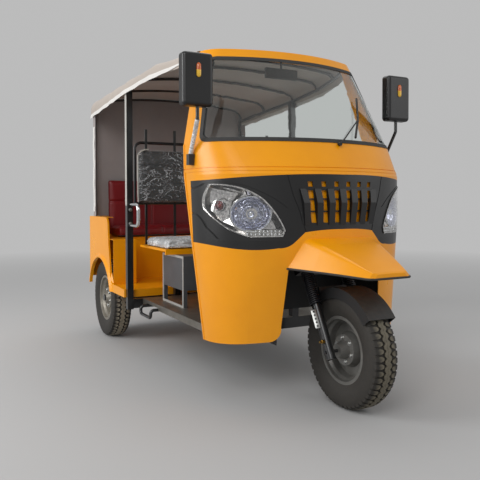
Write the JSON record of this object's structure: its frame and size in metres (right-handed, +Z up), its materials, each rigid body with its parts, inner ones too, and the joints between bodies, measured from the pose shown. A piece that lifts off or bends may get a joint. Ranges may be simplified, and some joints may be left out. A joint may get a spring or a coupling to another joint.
{
  "type": "auto rickshaw",
  "caption": "Three-wheeled auto rickshaw with a rounded front cab, handlebar steering, open sides, a driver's bench, a rear bench and a cloth roof on a tube frame.",
  "frame": {"origin": "on the ground under the centre of the bounding box", "axes": "+Y to the rear, +X to the vehicle's left, +Z up"},
  "size_m": [1.451, 2.77, 1.886],
  "materials": {
    "body_paint": "gloss orange-yellow paint",
    "satin_black": "satin black moulding",
    "black_plastic": "matt black moulding",
    "black_steel": "black enamel",
    "spring_steel": "black enamelled spring",
    "rubber": "matt black rubber",
    "windscreen": "clear safety glass",
    "lamp_lens": "clear polycarbonate",
    "lamp_bowl": "bright reflector",
    "tyre_rubber": "dusty black tyre",
    "rim_silver": "silver paint",
    "floor_aluminium": "bare sheet",
    "engine_aluminium": "cast",
    "grey_mesh": "grey enamel mesh",
    "black_leather": "black vinyl",
    "red_leather": "maroon vinyl",
    "canopy_cloth": "grey coated cloth",
    "curtain_cloth": "grey coated cloth",
    "chrome": "polished",
    "mirror": "mirror glass",
    "red_lens": "red lens"
  },
  "bodies": {
    "chassis": {"front_shell": "body_paint", "nose_panel": "body_paint", "windscreen_frame": "body_paint", "beak": "body_paint", "rear_quarters": "body_paint", "passenger_tub": "body_paint", "lamp_band": "satin_black", "grille": "satin_black", "wheel_well": "black_plastic", "dash_panel": "black_plastic", "mirror_housings": "black_plastic", "wiper": "black_plastic", "interior_mirror": "black_plastic", "windscreen_gasket": "rubber", "windscreen_glass": "windscreen", "headlamp_lenses": "lamp_lens", "headlamp_housings": "lamp_bowl", "chassis_frame": "black_steel", "tow_eye": "black_steel", "driver_floor": "floor_aluminium", "seat_board": "body_paint", "driver_cushion": "black_leather", "driver_backrest": "black_leather", "backrest_frame": "black_steel", "seat_box": "grey_mesh", "engine_block": "engine_aluminium", "rear_axle": "black_steel", "leaf_springs": "black_steel", "pedals": "black_steel", "rear_cushion": "red_leather", "rear_backrest": "red_leather", "canopy": "canopy_cloth", "roof_frame": "black_steel", "rear_curtain": "curtain_cloth", "grab_handles": "chrome", "mirror_glasses": "mirror", "mirror_arms": "black_steel", "tail_lamps": "red_lens"},
    "steering": {"front_fork": "black_steel", "fork_springs": "spring_steel", "front_mudguard": "black_plastic", "handlebar": "black_steel"},
    "front_wheel": {"front_tyre": "tyre_rubber", "front_rim": "rim_silver"},
    "rear_left_wheel": {"rear_left_tyre": "tyre_rubber", "rear_left_rim": "rim_silver"},
    "rear_right_wheel": {"rear_right_tyre": "tyre_rubber", "rear_right_rim": "rim_silver"}
  },
  "joints": [
    {"name": "steering", "type": "hinge", "parent": "chassis", "child": "steering", "pos_m": [0, -1.04968, 0.26622], "axis": [0, 0.4695, 0.8829], "range_deg": [-35, 35]},
    {"name": "front_wheel_spin", "type": "hinge", "parent": "steering", "child": "front_wheel", "pos_m": [0, -1.085, 0.285], "axis": [1, 0, 0], "continuous": true},
    {"name": "rear_left_spin", "type": "hinge", "parent": "chassis", "child": "rear_left_wheel", "pos_m": [0.576, 1.052, 0.285], "axis": [1, 0, 0], "continuous": true},
    {"name": "rear_right_spin", "type": "hinge", "parent": "chassis", "child": "rear_right_wheel", "pos_m": [-0.576, 1.052, 0.285], "axis": [1, 0, 0], "continuous": true}
  ]
}
